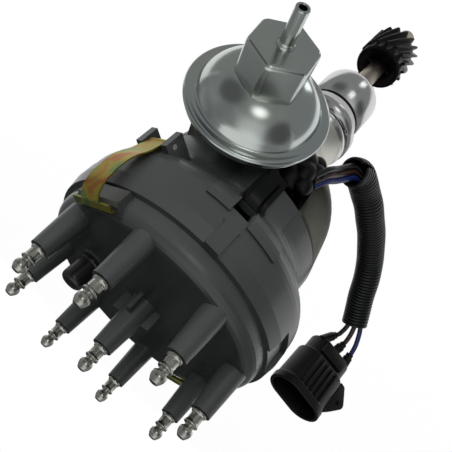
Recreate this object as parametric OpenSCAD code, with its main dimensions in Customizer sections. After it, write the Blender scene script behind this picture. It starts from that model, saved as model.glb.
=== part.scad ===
// Eight-cylinder ignition distributor with vacuum and centrifugal advance.
// The origin is on the shaft axis at the underside of the seating collar, +Z runs up to the cap.

/* [Shank and shaft] */
// Radius of the machined shank that enters the engine block
shank_r = 19.8; // [19:0.1:20.5]
// Length of the shank below the seating collar
shank_len = 42.2; // [38:0.1:46]
// Radius of the main shaft
shaft_r = 5.9; // [5.7:0.05:6.1]
// Length of shaft below the seating collar
shaft_drop = 127.3; // [122:0.1:132]
// Width across the flats of the oil pump socket in the shaft tip
socket_af = 7.9; // [7.5:0.1:8.2]

/* [Drive gear] */
// Number of helical teeth
gear_teeth = 16; // [14:1:18]
// Tip radius of the teeth
gear_r = 17.3; // [16.8:0.1:18]
// Root radius of the teeth
gear_root_r = 13.6; // [13:0.1:14]
// Face width of the teeth
gear_w = 22; // [20:0.5:24]
// Height of the lower face of the gear
gear_z = -106; // [-108:0.5:-104]
// Turn of the teeth over the face width, in degrees
gear_twist = 40; // [30:1:45]

/* [Bowl] */
// Radius of the seating collar
collar_r = 23.5; // [22.5:0.1:24]
// Radius of the neck above the collar
neck_r = 21; // [20.6:0.1:21.4]
// Height of the bowl's upper edge
bowl_z = 100; // [99:0.1:101]
// Radius of the spigot that enters the adapter
spigot_r = 50.5; // [50.3:0.05:50.55]

/* [Adapter and cap] */
// Radius of the adapter's skirt
skirt_r = 53; // [52.8:0.1:53.5]
// Radius of the adapter's flange
flange_r = 66.5; // [66:0.1:67]
// Height of the parting line between adapter and cap
parting_z = 143; // [142.6:0.1:143.3]
// Radius of the cap's band
band_r = 66.8; // [66:0.1:67.5]
// Height of the cap's flat top
cap_top = 168; // [167.5:0.1:168.5]

/* [Towers] */
// Number of plug towers
towers = 8; // [8:8]
// Radius of the ring of towers
tower_ring = 53.4; // [52.8:0.1:53.8]
// Angle of the first tower
tower_phase = 11.2; // [8:0.1:14]
// Height of the plug towers
tower_top = 191.8; // [190:0.1:193]
// Height of the coil tower
coil_top = 197; // [195:0.1:199]

/* [Vacuum unit] */
// Sideways place of the unit's axis
can_x = 16.5; // [16:0.1:17]
// Height of the unit's axis
can_z = 89.2; // [89:0.1:89.4]
// Radius of the rolled rim
can_r = 34.2; // [33.5:0.1:35]
// Width of the hexagonal body across its flats
hex_af = 27.5; // [27:0.1:28]
// Travel of the arm at full vacuum
arm_travel = 6; // [5:0.5:6]

/* [Clips and lead] */
// Angle of the near clip, the other is opposite
clip_az = -54; // [-56:0.5:-52]
// Width of a clip's strip
clip_w = 11; // [10:0.5:11.5]
// Diameter of each wire
wire_d = 3; // [2.6:0.1:3.2]
// Outer diameter of the loom
loom_d = 16; // [14:0.5:17]

/* [Hidden] */
$fn = 64;

run = 0.05;
bushing_r = 8;
boss_top = 62;
groove_z = -10;
ring_section = 1.3;
washer_t = 1.2;

// Bowl: concave fillet over the neck, a cone, then a round shoulder into the wall
neck_top = 27;
fillet_r = 16;
cone_a = 54.5;
wall_a = 79;
shoulder_r = 40;
cone_end = [41.8, 61.3];
ledge_z = 81;
spigot_top = 104;
rim_r = 52.4;

// Advance mechanism, between the floor of the bowl and the base plate
carrier_z = 64;
carrier_t = 2.5;
weight_z = 67;
weight_t = 4.5;
pivot_x = 24;
cam_pin = [4.1, -15.5];
cam_az = -75.2;
cam_plate_z = 73;
spring_z = 77.5;
spring_anchor = [-22.2, -26.4];
spring_post = [5.1, -19.3];
spring_wire = 0.42;
weight_coils = 13;
sleeve_r = 9;
sleeve_top = 124;
shaft_top = 121.5;
retainer_z = 119;

// Pickup
plate_t = 2;
rim_in = 21;
rim_out = 23;
pickup_z = 83.3;
reluctor_z = 88;
pickup_az = 200;
arm_z = 88.2;
arm_t = 1.6;
arm_pin_x = 30;

// Adapter flare, two equal arcs that meet where they slope the same
flare_low = 112;
flare_high = 138;
flare_turn = 2 * atan((flange_r - skirt_r) / (flare_high - flare_low));
flare_rad = (flare_high - flare_low) / (2 * sin(flare_turn));
adapter_wall = 4;
shoulder_in = 49;
key_az = [-104.5, -96.5];

// Cap
cap_in = 60.5;
lip_r = 62.3;
dome_z = 163;
terminal_r = 2.85;
root_z = 158;
post_r = 3.1;

// Clips
clip_azs = [clip_az, clip_az + 180];
hinge_r = 65;
hinge_z = 126;
clip_pin_r = 1.3;
strip_t = 0.8;
clip_line = [[67, 127.5], [69, 137], [71.4, 144], [72.3, 151], [71.6, 160.4], [69.4, 166.4],
    [66.1, 169.2], [62.2, 169.4]];

// Vacuum unit, measured along its own axis from the shaft plane
rim_d = 73;
rim_rad = 1.7;
sheet_t = 1.1;
diaphragm_r = 31.5;
dome_d = 89.3;
back_d = 60;
pad_d = 54;
bracket_t = 2.5;
hex_end = 106.8;
nozzle_end = 124.6;
nozzle_r = 2.8;
hex_turn = 38.2;
slot_x = [10, 23];
slot_z = [85, 93];
screw_xs = [-1, 34];

// Lead
wire_path = [[-24, -50, 84], [-27, -51, 77], [-30, -48, 70], [-33, -45, 62], [-36, -42, 55],
    [-42, -35, 50], [-47, -28, 48], [-53, -21, 47], [-59, -12, 46], [-65, -3, 45],
    [-71, 7, 45], [-77, 17, 46], [-83, 27, 50], [-88, 37, 55], [-94, 46, 60], [-99, 54, 66],
    [-101, 60, 71], [-101, 63, 75], [-100, 64, 80]];
loom_path = [[-35, -43, 57], [-38, -40, 52], [-42, -35, 50], [-47, -28, 48], [-53, -21, 47],
    [-59, -12, 46], [-65, -3, 45], [-71, 7, 45], [-77, 17, 46], [-83, 27, 50],
    [-88, 37, 55], [-93, 45, 60], [-97, 51, 65]];
plug_at = [-99, 64, 78];
plug_turn = 156;
plug_len = 39;
plug_w = 22;
plug_h = 44;
plug_wall = 2.2;
plug_floor = 18;
contact_gap = 9.5;
wire_gap = 3.6;

// Curves

function arc(c, r, a0, a1, n) = [for (i = [0:n]) let (a = a0 + (a1 - a0) * i / n)
    c + r * [cos(a), sin(a)]];

// Catmull-Rom curve through the points of p
function spline(p, n) = let (m = len(p) - 1) [for (i = [0:m - 1], k = [0:n - (i < m - 1 ? 1 : 0)])
    let (a = p[max(i - 1, 0)], b = p[i], c = p[i + 1], d = p[min(i + 2, m)], t = k / n)
    0.5 * (2 * b + (c - a) * t + (2 * a - 5 * b + 4 * c - d) * t * t
        + (3 * b - a - 3 * c + d) * t * t * t)];

function unit(v) = v / norm(v);

function heading(p, i) = unit(p[min(i + 1, len(p) - 1)] - p[max(i - 1, 0)]);

// Outline of a strip of thickness t along a plane curve
function strip(p, t) = let (n = len(p)) concat(
    [for (i = [0:n - 1]) let (h = heading(p, i)) p[i] + t / 2 * [h.y, -h.x]],
    [for (i = [n - 1:-1:0]) let (h = heading(p, i)) p[i] - t / 2 * [h.y, -h.x]]);

// Sideways vector carried along a path without twist
function carried(p, i, start) = i == 0 ? start
    : let (before = carried(p, i - 1, start), h = heading(p, i)) unit(before - (before * h) * h);

// Tube of n sides along a path
module sweep(p, r, n, start) {
    last = len(p) - 1;
    first = unit(start - (start * heading(p, 0)) * heading(p, 0));
    rings = [for (i = [0:last]) let (h = heading(p, i), u = carried(p, i, first), v = cross(h, u))
        for (k = [0:n - 1]) p[i] + r * (cos(360 * k / n) * u + sin(360 * k / n) * v)];
    sides = [for (i = [0:last - 1], k = [0:n - 1])
        [i * n + k, i * n + (k + 1) % n, (i + 1) * n + (k + 1) % n, (i + 1) * n + k]];
    caps = [[for (k = [n - 1:-1:0]) k], [for (k = [0:n - 1]) last * n + k]];
    polyhedron(rings, concat([for (f = sides) [f[3], f[2], f[1], f[0]]],
        [for (f = caps) [for (k = [len(f) - 1:-1:0]) f[k]]]), convexity = 6);
}

// Placing

module at(az, r = 0, z = 0) rotate([0, 0, az]) translate([r, 0, z]) children();

module tube(r_out, r_in, z0, z1) rotate_extrude() translate([r_in, z0])
    square([r_out - r_in, z1 - z0]);

module sector(az0, az1, r0, r1, z0, z1) rotate([0, 0, az0])
    rotate_extrude(angle = az1 - az0) translate([r0, z0]) square([r1 - r0, z1 - z0]);

module rod(r, z0, z1) translate([0, 0, z0]) cylinder(r = r, h = z1 - z0);

// A box by two corners
module block(a, b) translate(a) cube(b - a);

// The vacuum unit's axis, on which distances grow away from the shaft
module on_can() translate([can_x, 0, can_z]) rotate([90, 0, 0]) children();

// A flat outline of radius and height, extruded across the radius at an angle
module across(az, w) at(az) rotate([90, 0, 0]) translate([0, 0, -w / 2])
    linear_extrude(w) children();

module stadium(l, w) {
    square([l - w, w], center = true);
    for (s = [-1, 1]) translate([s * (l - w) / 2, 0]) circle(d = w);
}

// Bowl and shank

fillet = arc([neck_r + fillet_r, neck_top], fillet_r, 180, 90 + cone_a, 6);
shoulder = arc(cone_end - shoulder_r * [sin(cone_a), -cos(cone_a)], shoulder_r,
    cone_a - 90, wall_a - 90, 6);

module bowl_outline() polygon(concat(
    [[0, -shank_len], [shank_r - 0.8, -shank_len], [shank_r, 0.8 - shank_len], [shank_r, 0],
        [collar_r - 0.5, 0], [collar_r, 0.5], [collar_r, 7], [21.4, 7], [21.4, 9],
        [22.6, 9], [22.6, 13], [neck_r, 14]],
    fillet, shoulder,
    [[rim_r, 97], [rim_r, bowl_z], [spigot_r, bowl_z], [spigot_r, spigot_top], [0, spigot_top]]));

module bowl_cavity() rotate_extrude() polygon([[13, 48], [26, 48], [38, 63], [42, 70],
    [42.8, ledge_z], [46, ledge_z], [47, 90], [48, 99], [48, 110], [0, 110], [0, boss_top],
    [13, boss_top]]);

base_screw_azs = [25, 205];
adapter_screw_azs = [45, 165, 285];

module inner_boss(az, r, size, z0, z1) intersection() {
    at(az, r) rod(size, z0, z1);
    rod(48.5, z0, z1);
}

module housing() color("#8d8b7c") difference() {
    union() {
        difference() {
            union() {
                rotate_extrude() bowl_outline();
                translate([screw_xs[0] - 6, 0, 0]) rotate([90, 0, 90])
                    linear_extrude(screw_xs[1] - screw_xs[0] + 12)
                        polygon([[-pad_d, 81], [-pad_d, 98], [-28, 98], [-28, 66], [-40, 66]]);
            }
            bowl_cavity();
        }
        for (az = base_screw_azs) inner_boss(az, 42.5, 4, 73, ledge_z);
        for (az = adapter_screw_azs) inner_boss(az, 44, 4.5, 92, spigot_top);
    }
    rod(bushing_r - 1, -shank_len - 1, boss_top + 1);
    rod(bushing_r, -shank_len - 1, -22);
    rod(bushing_r, 42, boss_top + 1);
    tube(shank_r + 1, shank_r - 2 * ring_section, groove_z - 2, groove_z + 2);
    block([slot_x[0], -pad_d - 1, slot_z[0]], [slot_x[1], -38, slot_z[1]]);
    sector(-122, -106, 42, 60, ledge_z + 2, spigot_top + 1);
    for (x = screw_xs) translate([x, -42, can_z - 0.2]) rotate([90, 0, 0]) rod(2, 0, 13);
    at(-108.5, 0, 0) translate([44, 0, 70]) rotate([0, 90, 0]) rod(2, 0, 8);
    for (az = base_screw_azs) at(az, 42.5) rod(1.8, 74, ledge_z + 1);
    for (az = adapter_screw_azs) at(az, 44) rod(2, 96, spigot_top + 1);
}

module upper_bushing() color("peru") tube(bushing_r, shaft_r + run, 42, boss_top);

module lower_bushing() color("peru") tube(bushing_r, shaft_r + run, -shank_len, -22);

// Drawn as its bore presses it, level with the shank
module o_ring() color("#141414") rotate_extrude() translate([shank_r - ring_section, groove_z])
    circle(r = ring_section, $fn = 24);

module thrust_washer() color("silver") tube(11, shaft_r + 0.2, boss_top, boss_top + washer_t);

// Shaft and gear

pin_z = gear_z + gear_w + 2.8;

module main_shaft() color("#6e675c") difference() {
    rotate_extrude() polygon(concat([[0, -shaft_drop]],
        arc([shaft_r - 2, -shaft_drop + 2], 2, -90, 0, 6),
        [[shaft_r, retainer_z], [4.2, retainer_z], [4.2, retainer_z + 1], [shaft_r, retainer_z + 1],
            [shaft_r, shaft_top - 1], [shaft_r - 1, shaft_top], [0, shaft_top]]));
    translate([0, 0, -shaft_drop - 1]) cylinder(r = socket_af / sqrt(3), h = 17, $fn = 6);
    translate([-10, 0, pin_z]) rotate([0, 90, 0]) rod(1.55, 0, 20);
}

module sleeve_retainer() color("silver") difference() {
    tube(7.2, 4.2, retainer_z, retainer_z + 1);
    block([0, -3.4, retainer_z - 1], [8, 3.4, retainer_z + 2]);
}

// One tooth space repeated round the root circle, tips narrower than roots
function tooth(k) = let (a = 360 * k / gear_teeth, p = 360 / gear_teeth)
    [[gear_root_r, a - 0.36 * p], [gear_r - 1, a - 0.17 * p], [gear_r, a - 0.09 * p],
        [gear_r, a + 0.09 * p], [gear_r - 1, a + 0.17 * p], [gear_root_r, a + 0.36 * p]];

module drive_gear() color("#1c1b1a") difference() {
    union() {
        translate([0, 0, gear_z]) linear_extrude(gear_w, twist = gear_twist, slices = 10)
            polygon([for (k = [0:gear_teeth - 1], q = tooth(k)) q[0] * [cos(q[1]), sin(q[1])]]);
        rotate_extrude() polygon([[0, gear_z + gear_w - 1], [15.8, gear_z + gear_w - 1],
            [15.8, gear_z + gear_w + 5], [15.2, gear_z + gear_w + 5.6], [12.2, gear_z + gear_w + 5.6],
            [12, gear_z + gear_w + 5.1], [0, gear_z + gear_w + 5.1]]);
    }
    rod(shaft_r + 0.02, gear_z - 1, gear_z + gear_w + 8);
    rod(9, gear_z + gear_w + 4, gear_z + gear_w + 8);
    rod(8, gear_z - 1, gear_z + 1.5);
    translate([-18, 0, pin_z]) rotate([0, 90, 0]) rod(1.55, 0, 36);
}

module gear_roll_pin() color("dimgray") translate([-15, 0, pin_z]) rotate([0, 90, 0])
    tube(1.5, 0.8, 0, 30);

// Centrifugal advance

module weight_plate() color("silver") {
    difference() {
        union() {
            rod(30, carrier_z, carrier_z + carrier_t);
            rod(9, carrier_z - 0.4, carrier_z + carrier_t);
            for (s = [0, 180]) rotate([0, 0, s]) translate([spring_anchor.x, spring_anchor.y, 0])
                rotate([0, 0, 50]) block([-3.5, -3, carrier_z], [3.5, 1.5, carrier_z + carrier_t]);
        }
        rod(shaft_r + 0.02, carrier_z - 1, carrier_z + carrier_t + 1);
        for (az = [20, 200]) at(az, 17) rod(4, carrier_z - 1, carrier_z + carrier_t + 1);
    }
    for (s = [0, 180]) rotate([0, 0, s]) {
        translate([pivot_x, 0, 0]) rod(2, carrier_z + carrier_t, weight_z + weight_t + 0.5);
        translate([pivot_x, 0, 0]) rod(3, weight_z + weight_t + 0.4, weight_z + weight_t + 1.2);
        translate([spring_anchor.x, spring_anchor.y, 0]) rod(1, carrier_z + carrier_t, spring_z + 2);
    }
}

module advance_weight() difference() {
    union() {
        sector(-150, -12, 13, 27, weight_z, weight_z + weight_t);
        sector(-20, -4, 20, 28, weight_z, weight_z + weight_t);
        translate([pivot_x, 0, 0]) rod(4, weight_z, weight_z + weight_t);
        translate(cam_pin) rod(1.5, weight_z, cam_plate_z + 2.5);
    }
    translate([pivot_x, 0, 0]) rod(2 + run, weight_z - 1, weight_z + weight_t + 1);
}

module advance_weight_1() color("slategray") advance_weight();

module advance_weight_2() color("slategray") rotate([0, 0, 180]) advance_weight();

// Tension spring with a flat eye at each end, one wire wound round its own line
module weight_spring() {
    along = spring_post - spring_anchor;
    span = norm(along);
    translate([spring_anchor.x, spring_anchor.y, spring_z])
        rotate([0, 0, atan2(along.y, along.x)]) {
            sweep([for (i = [0:weight_coils * 12]) let (a = 30 * i)
                [4.6 + i * (span - 9.2) / (weight_coils * 12), 1.8 * cos(a), 1.8 * sin(a)]],
                spring_wire, 6, [0, 0, 1]);
            for (x = [0, span]) translate([x, 0, 0]) tube(2, 1.2, -spring_wire, spring_wire);
            for (x = [[1.6, 4.6], [span - 4.6, span - 1.6]]) translate([x[0], 1.7, 0])
                rotate([0, 90, 0]) rod(spring_wire, 0, x[1] - x[0]);
        }
}

module weight_spring_1() color("gray") weight_spring();

module weight_spring_2() color("gray") rotate([0, 0, 180]) weight_spring();

module advance_sleeve() color("silver") difference() {
    union() {
        rod(sleeve_r, cam_plate_z, sleeve_top);
        rotate([0, 0, cam_az]) block([-28, -6, cam_plate_z], [28, 6, cam_plate_z + 2]);
        for (s = [0, 180]) rotate([0, 0, s]) translate([spring_post.x, spring_post.y, 0])
            rod(1, cam_plate_z, spring_z + 2);
    }
    rod(shaft_r + run, cam_plate_z - 1, sleeve_top + 1);
    rod(7.6, retainer_z - 0.5, sleeve_top + 1);
    for (s = [0, 180]) rotate([0, 0, s + cam_az]) block([13.6, -1.9, cam_plate_z - 1],
        [26, 1.9, cam_plate_z + 3]);
    rod_notch();
    at(90, sleeve_r) block([-1, -2, 112], [3, 2, sleeve_top + 1]);
}

// Round groove shared by the sleeve and the reluctor, where the pin sits
module rod_notch() at(0, sleeve_r) rod(1.25, reluctor_z - 1, reluctor_z + 9);

module reluctor() color("#55585a") difference() {
    union() {
        rod(13, reluctor_z, reluctor_z + 8);
        for (k = [0:7]) intersection() {
            at(45 * k) block([10, -2.2, reluctor_z], [22, 2.2, reluctor_z + 8]);
            rod(20.5, reluctor_z, reluctor_z + 8);
        }
    }
    rod(sleeve_r + 0.02, reluctor_z - 1, reluctor_z + 9);
    rod_notch();
}

module reluctor_pin() color("dimgray") at(0, sleeve_r) rod(1.2, reluctor_z - 0.8, reluctor_z + 8);

// Pickup

module base_plate() color("darkgray") difference() {
    union() {
        rod(45.8, ledge_z, ledge_z + plate_t);
        rod(rim_out, ledge_z, pickup_z + plate_t + 0.8);
    }
    rod(rim_in, ledge_z - 1, pickup_z + plate_t + 2);
    for (az = base_screw_azs) at(az, 42.5) rod(1.9, ledge_z - 1, ledge_z + plate_t + 1);
    sector(-121, -107, 41, 50, ledge_z - 1, ledge_z + plate_t + 1);
}

module pan_head(r, h) {
    cylinder(r = r, h = h * 0.6);
    translate([0, 0, h * 0.6]) cylinder(r1 = r, r2 = r * 0.75, h = h * 0.4);
}

module slotted_screw(r, l, head_r, head_h) difference() {
    union() {
        rod(r, -l, 0);
        pan_head(head_r, head_h);
    }
    block([-head_r - 1, -0.5, head_h * 0.55], [head_r + 1, 0.5, head_h + 1]);
}

module base_plate_screws() color("silver") for (az = base_screw_azs)
    at(az, 42.5, ledge_z + plate_t) slotted_screw(1.75, 7.5, 2.8, 1.8);

module pickup_plate() color("lightgray") {
    difference() {
        rod(38, pickup_z, pickup_z + plate_t);
        rod(rim_out + 0.08, pickup_z - 1, pickup_z + plate_t + 1);
        for (az = [60, 130, 265]) at(az, 31) rod(3, pickup_z - 1, pickup_z + plate_t + 1);
    }
    translate([arm_pin_x, 0, 0]) rod(1.5, pickup_z + plate_t, arm_z + arm_t + 1);
}

module pickup_pole() color("#777a7c") at(pickup_az) {
    block([21.4, -2.5, 91], [34, 2.5, 95]);
    block([31, -6, pickup_z + plate_t], [36, 6, 95]);
}

module pickup_coil() color("#23201d") at(pickup_az) difference() {
    block([23.5, -8, 86.5], [30.9, 8, 100]);
    block([23, -2.55, 90.95], [31.5, 2.55, 95.05]);
}

// The arm's far end is cross slotted, so that the pickup plate's pin can swing
module vacuum_arm() color("silver") difference() {
    union() {
        translate([0, 0, arm_z]) linear_extrude(arm_t) polygon([[26.5, 3.5], [33.5, 3.5],
            [33.5, -4], [31, -20], [20, -35], [20, -67], [13, -67], [13, -33], [24, -19], [26.5, -4]]);
    }
    block([arm_pin_x - 2.4, -1.75, arm_z - 1], [arm_pin_x + 1.8, 1.75, arm_z + arm_t + 1]);
}

// Vacuum unit

module diaphragm_plate() color("gray") on_can() rod(20, 67, 68.5);

module diaphragm() color("#2a2623") on_can() rotate_extrude() polygon([[20.4, 67.2], [20.4, 68],
    [24, 68.2], [26.4, 70.2], [28.6, 72.3], [diaphragm_r, 72.5], [diaphragm_r, 71.5], [29, 71.4],
    [27, 69.6], [24.4, 67.4]]);

module diaphragm_spring() color("gray") on_can() {
    turns = 5;
    steps = 14;
    sweep([for (i = [0:turns * steps]) let (a = 360 * i / steps)
        [8 * cos(a), 8 * sin(a), 69.4 + i * 17.6 / (turns * steps)]], 0.7, 8, [1, 0, 0]);
}

module canister_back_shell() color("#b9bdb8") on_can() difference() {
    rotate_extrude() polygon([[8, back_d], [21, back_d], [23, back_d + 1], [31.6, 68], [33.2, 70.2],
        [33.2, 71.2], [31.4, 71.4], [30.6, 69], [22.4, back_d + 2], [20.6, back_d + 1.2],
        [8, back_d + 1.2]]);
    block([slot_x[0] - can_x, slot_z[0] - can_z, back_d - 1],
        [slot_x[1] - can_x, slot_z[1] - can_z, back_d + 3]);
}

// Pressed front: rolled rim, flat land, a small step, then one large dome up to the hexagon
dome_mid = [7.2, 67.5];
dome_rad = 23;

module canister_front_shell() color("#c4c8c2") on_can() difference() {
    union() {
        rotate_extrude() translate([can_r - rim_rad, rim_d]) circle(r = rim_rad, $fn = 32);
        rotate_extrude() polygon(concat([[31.6, 72.8], [32.6, 72.8], [32.6, 74.2], [30, 74.4]],
            arc(dome_mid, dome_rad, 21, 70, 9), [[10, dome_d], [10, dome_d - sheet_t]],
            arc(dome_mid, dome_rad - sheet_t, 70, 16, 9), [[29.4, 73]]));
    }
    tube(33.3, 31.5, 70, 71.5);
    tube(diaphragm_r + 0.05, 28, 71, 72.8);
}

// Outline of the hexagon with its corners rounded
function soft_hex(af, r) = [for (k = [0:5], p = arc((af / 2 - r) / cos(30) * [cos(60 * k),
    sin(60 * k)], r, 60 * k - 30, 60 * k + 30, 4)) p];

// Steps of the rounded edge between the sides and the end face: height, then width lost
hex_steps = [[0, 0], [hex_end - dome_d - 2, 0], [hex_end - dome_d - 1.1, 0.3],
    [hex_end - dome_d - 0.4, 1.1], [hex_end - dome_d, 2.6]];

module hex_body() color("#c4c8c2") on_can() difference() {
    rotate([0, 0, hex_turn]) translate([0, 0, dome_d]) hull() for (s = hex_steps)
        translate([0, 0, max(s[0] - 0.01, 0)]) linear_extrude(0.01)
            polygon(soft_hex(hex_af - s[1], 2.2));
    rod(10, dome_d - 1, hex_end - 2.5);
    rod(1.7, dome_d, hex_end + 1);
}

module hose_nozzle() color("#cfcfca") on_can() difference() {
    rotate_extrude() polygon([[0, hex_end], [4.6, hex_end], [4.6, hex_end + 0.9],
        [nozzle_r, hex_end + 1.6], [nozzle_r, nozzle_end - 0.5], [nozzle_r - 0.5, nozzle_end],
        [0, nozzle_end]]);
    rod(1.7, hex_end - 1, nozzle_end + 1);
}

module canister_bracket() color("#b9bdb8") difference() {
    union() {
        block([screw_xs[0] - 5.5, -pad_d - bracket_t, 82], [screw_xs[1] + 5.5, -pad_d, 97]);
        on_can() rod(11, pad_d, back_d);
    }
    block([slot_x[0], -back_d - 1, slot_z[0]], [slot_x[1], -pad_d + 1, slot_z[1]]);
    for (x = screw_xs) translate([x, -pad_d + 1, can_z - 0.2]) rotate([90, 0, 0]) rod(2.1, 0, 5);
}

module bracket_screws() color("silver") for (x = screw_xs)
    translate([x, -pad_d - bracket_t, can_z - 0.2]) rotate([90, 0, 0]) slotted_screw(1.95, 11, 3.6, 2.6);

// Rotor

module rotor() color("#3a2c22") difference() {
    union() {
        rod(14, 108, 140);
        rod(42, 140, 144);
        rod(16, 136, 146);
        at(90) block([0, -6, 144], [40, 6, 146]);
        at(90, sleeve_r) block([-0.9, -1.9, 112], [0.6, 1.9, 125]);
    }
    difference() {
        rod(sleeve_r + run, 107, 125);
        at(90, sleeve_r) block([-0.9, -1.9, 112], [0.6, 1.9, 126]);
    }
}

module rotor_blade() color("goldenrod") at(90) {
    rod(5, 146, 148);
    block([0, -4, 146], [44, 4, 148]);
    block([40, -6.5, 146], [48.6, 6.5, 148]);
}

// Adapter

flare_out = concat(arc([skirt_r + flare_rad, flare_low], flare_rad, 180, 180 - flare_turn, 6),
    arc([flange_r - flare_rad, flare_high], flare_rad, -flare_turn, 0, 6));

module flare_pad(az0, az1, t) rotate([0, 0, az0]) rotate_extrude(angle = az1 - az0)
    polygon(concat([[skirt_r - 1, 101], [skirt_r + t, 101]], [for (p = flare_out) p + [t, 0]],
        [[flange_r + t, 139], [flange_r - 1, 139], [skirt_r - 1, 110]]));

module clip_ears(az) for (s = [-1, 1])
    at(az) block([54, s * 7.8 - 1.8, 119.5], [68.4, s * 7.8 + 1.8, 130.5]);

module adapter_bore() rotate_extrude() polygon(concat(
    [[0, 99], [spigot_r + 0.05, 99], [spigot_r + 0.05, spigot_top], [shoulder_in, spigot_top],
        [shoulder_in, flare_low + 1]],
    [for (p = flare_out) p - [adapter_wall, -1]],
    [[flange_r - adapter_wall, parting_z + 1], [0, parting_z + 1]]));

module adapter() color("#474c4d") difference() {
    union() {
        difference() {
            union() {
                rotate_extrude() polygon(concat([[0, bowl_z], [skirt_r, bowl_z]], flare_out,
                    [[flange_r, parting_z], [0, parting_z]]));
                flare_pad(-96.5, -86, 1.3);
                flare_pad(-121, -105, 1.3);
                for (az = clip_azs) clip_ears(az);
            }
            adapter_bore();
        }
        for (az = adapter_screw_azs) intersection() {
            at(az) block([39.5, -4.5, spigot_top], [50, 4.5, spigot_top + 3.5]);
            rod(shoulder_in + 1, spigot_top, spigot_top + 4);
        }
    }
    sector(key_az[0], key_az[1], 50, 70, 127, 136);
    sector(key_az[0], key_az[1], skirt_r - 1, 70, 99, 127);
    for (az = adapter_screw_azs) at(az, 44) rod(2.1, spigot_top - 1, spigot_top + 5);
    for (az = clip_azs) at(az, hinge_r, hinge_z) rotate([90, 0, 0]) rod(clip_pin_r + 0.02, -12, 12);
}

module adapter_screws() color("silver") for (az = adapter_screw_azs)
    at(az, 44, spigot_top + 3.5) slotted_screw(1.95, 11, 3.4, 2.2);

// Cap

cap_roll = arc([55.4, cap_top - 7], 7, 0, 90, 6);

module cap_skin() rotate_extrude() polygon(concat([[0, parting_z], [band_r, parting_z],
    [band_r, 150], [65.4, 157], [62.6, 157.4], [62.4, 159.6]], cap_roll, [[0, cap_top]]));

// Part of a tower between two heights, its taper runs from the root to its top
module tower(z0, z1, root_r, tip_r, tip_z) {
    lean = (tip_r - root_r) / (tip_z - root_z);
    translate([0, 0, z0]) cylinder(r1 = root_r + lean * (z0 - root_z),
        r2 = root_r + lean * (z1 - root_z), h = z1 - z0);
}

module terminal_bores() {
    for (k = [0:towers - 1]) at(tower_phase + 45 * k, tower_ring)
        rod(terminal_r + run, 149, tower_top + 1);
    rod(terminal_r + run, 150, coil_top + 1);
}

// The same moulding as the cap, from the level of its roof up
module cap_towers() color("#474c4d") difference() {
    union() {
        for (k = [0:towers - 1]) at(tower_phase + 45 * k, tower_ring)
            tower(cap_top, tower_top, 6.9, 5.1, tower_top);
        tower(cap_top, coil_top, 8, 5.3, coil_top);
        for (az = [15, 105, 195, 285]) at(az) block([5, -1.1, cap_top], [11, 1.1, 178]);
    }
    terminal_bores();
}

module clip_seat(az) across(az, 26) polygon([[54, 158], [64.6, 158], [64.6, 165.6],
    [62.8, 166.9], [54, 167.9]]);

module cap() color("#474c4d") difference() {
    union() {
        difference() {
            union() {
                cap_skin();
                for (k = [0:towers - 1]) at(tower_phase + 45 * k, tower_ring)
                    tower(root_z, cap_top, 6.9, 5.1, tower_top);
                for (az = clip_azs) clip_seat(az);
                sector(-104.5, -98, 60, 67.8, parting_z, 157.4);
                translate([33, 0, 160]) cylinder(r = 7.4, h = 9.4);
            }
            rotate_extrude() polygon(concat([[0, 139], [cap_in, 139], [cap_in, 154]],
                arc([cap_in - 9, 154], 9, 0, 90, 6), [[0, dome_z]]));
        }
        tube(lip_r, cap_in, 140, parting_z);
        for (k = [0:towers - 1]) at(tower_phase + 45 * k, tower_ring) rod(5.2, 150, 160);
        rod(7.5, 154, dome_z + 1);
        for (k = [0:towers - 1]) at(tower_phase + 45 * k) block([52, -2.5, 155], [62, 2.5, 160]);
    }
    terminal_bores();
    rod(3.1, 150, 160);
    for (az = [-162, 18]) sector(az - 9, az + 9, 64.2, 70, 144, 158);
    translate([33, 0, 0]) rod(4 + run, 160, 172);
}

// Turned post from the top of its tower: collar, barrel, groove, ring, neck and bulb
module post(z) translate([0, 0, z]) rotate_extrude() polygon([[0, 0], [3.5, 0], [3.6, 0.2],
    [3.6, 1], [3.4, 1.3], [2.9, 1.3], [2.9, 5.6], [2.5, 6], [2.3, 6.4], [2.9, 6.8], [2.9, 7.4],
    [2.2, 7.9], [2, 8.3], [2.6, 8.8], [post_r, 9.4], [post_r, 11.4], [2.8, 12.4], [2, 13.3],
    [1.2, 13.7], [0, 13.7]]);

module ring_terminals() color("#d8d8d4") for (k = [0:towers - 1]) at(tower_phase + 45 * k) {
    translate([tower_ring, 0, 0]) {
        rod(terminal_r, 143, tower_top);
        post(tower_top);
    }
    block([49.6, -2.6, 143], [tower_ring, 2.6, 149.6]);
}

module centre_terminal() color("#d8d8d4") {
    rod(terminal_r, 160, coil_top);
    post(coil_top);
}

module carbon_button() color("#1b1b1b") rotate_extrude() polygon([[0, 148.3], [1.4, 148.6],
    [3, 150], [3, 160], [0, 160]]);

module vent_plug() color("#17181a") translate([33, 0, 0]) {
    rod(4, 162, 169.4);
    rotate_extrude() polygon(concat([[0, 169.4], [6.4, 169.4], [6.4, 171], [6, 171.6], [6, 183]],
        arc([1.5, 184], 4.5, 0, 90, 5), [[0, 188.5]]));
}

// Clips

module spring_clip(az) {
    across(az, clip_w) union() {
        difference() {
            translate([hinge_r, hinge_z]) circle(r = 2.4);
            translate([hinge_r, hinge_z]) circle(r = clip_pin_r + run);
        }
        polygon(strip(spline(concat([[66.9, 126.4]], clip_line), 5), strip_t));
    }
    across(az, 23) polygon([[61, 167.7], [61.8, 167.7], [62.2, 169], [65.4, 168.9], [65.4, 169.8],
        [61.8, 169.9], [61, 169.2]]);
}

module spring_clip_1() color("#b8a96a") spring_clip(clip_azs[0]);

module spring_clip_2() color("#b8a96a") spring_clip(clip_azs[1]);

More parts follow.
